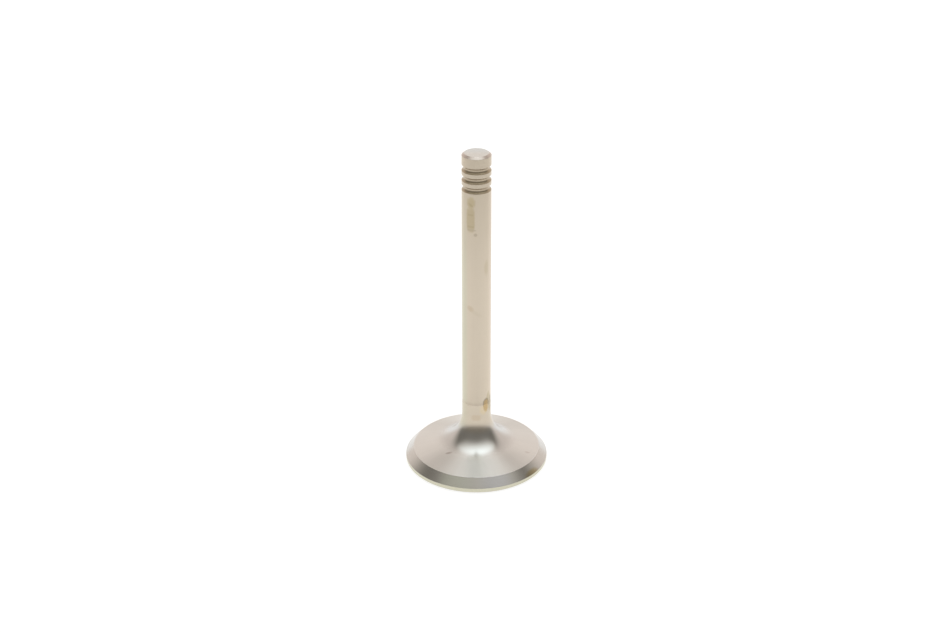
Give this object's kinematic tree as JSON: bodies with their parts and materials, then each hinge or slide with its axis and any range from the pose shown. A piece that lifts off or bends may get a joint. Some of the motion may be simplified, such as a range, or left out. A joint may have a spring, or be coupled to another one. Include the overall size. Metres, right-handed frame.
{
  "type": "engine poppet valve",
  "caption": "Mushroom-shaped poppet valve: flat round head with a conical seat, long ground stem, and round keeper grooves below a chamfered tip.",
  "frame": {"origin": "centre of the flat combustion face, on which the valve stands", "axes": "+Z along the stem, from the head to the tip"},
  "size_m": [0.0402, 0.0402, 0.093],
  "materials": {
    "valve_steel": "turned and ground bare steel, satin"
  },
  "bodies": {
    "root": {"valve": "valve_steel"}
  },
  "joints": []
}
